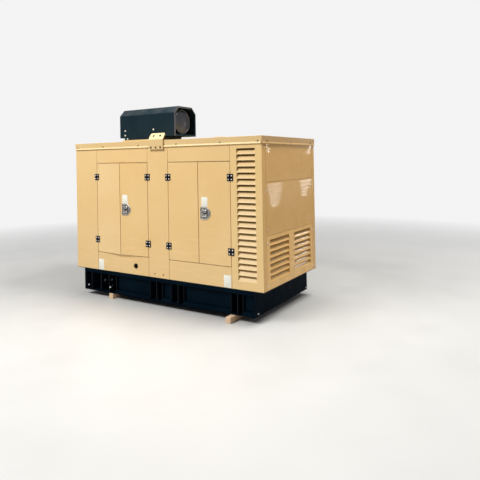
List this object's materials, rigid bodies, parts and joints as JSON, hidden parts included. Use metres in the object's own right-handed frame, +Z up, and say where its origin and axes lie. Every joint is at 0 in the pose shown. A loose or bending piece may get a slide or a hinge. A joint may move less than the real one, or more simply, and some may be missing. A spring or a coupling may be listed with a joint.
{
  "type": "generator set in weatherproof enclosure",
  "caption": "Tan sheet metal generator enclosure with hinged side doors, louvred panels, lifting brackets and a black exhaust hood, on a black steel skid and timbers.",
  "frame": {"origin": "middle of the footprint, on the ground under the timbers", "axes": "+X along the length towards the louvred side panel, the front doors face -Y, +Z up"},
  "size_m": [2.61, 1.41, 2.226],
  "materials": {
    "tan_wall": "satin powder coat",
    "tan_end": "gloss paint",
    "black_skid": "gloss paint",
    "bay_black": "gloss paint",
    "hood_paint": "heat proof black paint",
    "silencer_metal": "dull steel",
    "hinge_black": "satin black",
    "latch_chrome": "polished",
    "plug_rubber": "matt",
    "timber": "sawn softwood"
  },
  "bodies": {
    "enclosure": {"blank_panels": "tan_wall", "pillar_front": "tan_wall", "pillar_back": "tan_wall", "headers_front": "tan_wall", "headers_back": "tan_wall", "sills_front": "tan_wall", "sills_back": "tan_wall", "louvre_panel_front": "tan_wall", "louvre_panel_back": "tan_wall", "doors_back_left": "tan_wall", "doors_back_right": "tan_wall", "roof": "tan_wall", "roof_curb": "tan_wall", "lifting_brackets": "tan_wall", "corner_posts": "tan_end", "end_louvre_panel_right": "tan_end", "end_louvre_panel_left": "tan_end", "end_middle_panels": "tan_end", "end_upper_panels": "tan_end", "skid_feet": "black_skid", "skid_chords": "black_skid", "skid_webs": "black_skid", "skid_end_plates": "black_skid", "skid_cross_members": "black_skid", "floor_plate": "black_skid", "bay_uprights": "bay_black", "hood": "hood_paint", "hood_base": "hood_paint", "silencer_saddles": "hood_paint", "silencer": "silencer_metal", "hinge_frames_front": "hinge_black", "hinges_back": "hinge_black", "latches_back": "latch_chrome", "cable_plug": "plug_rubber", "timbers": "timber"},
    "left_outer_door": {"door_1": "tan_wall", "hinge_leaves_1": "hinge_black"},
    "left_inner_door": {"door_2": "tan_wall", "hinge_leaves_2": "hinge_black", "latch_left": "latch_chrome"},
    "right_inner_door": {"door_3": "tan_wall", "hinge_leaves_3": "hinge_black"},
    "right_outer_door": {"door_4": "tan_wall", "hinge_leaves_4": "hinge_black", "latch_right": "latch_chrome"}
  },
  "joints": [
    {"name": "left_outer_door_hinge", "type": "hinge", "parent": "enclosure", "child": "left_outer_door", "pos_m": [-0.932, -0.627, 0.676], "axis": [0, 0, -1], "range_deg": [-4, 96]},
    {"name": "left_inner_door_hinge", "type": "hinge", "parent": "enclosure", "child": "left_inner_door", "pos_m": [-0.145, -0.627, 0.676], "axis": [0, 0, 1], "range_deg": [-4, 96]},
    {"name": "right_inner_door_hinge", "type": "hinge", "parent": "enclosure", "child": "right_inner_door", "pos_m": [0.145, -0.627, 0.676], "axis": [0, 0, -1], "range_deg": [0, 100]},
    {"name": "right_outer_door_hinge", "type": "hinge", "parent": "enclosure", "child": "right_outer_door", "pos_m": [0.932, -0.627, 0.676], "axis": [0, 0, 1], "range_deg": [0, 100]}
  ]
}
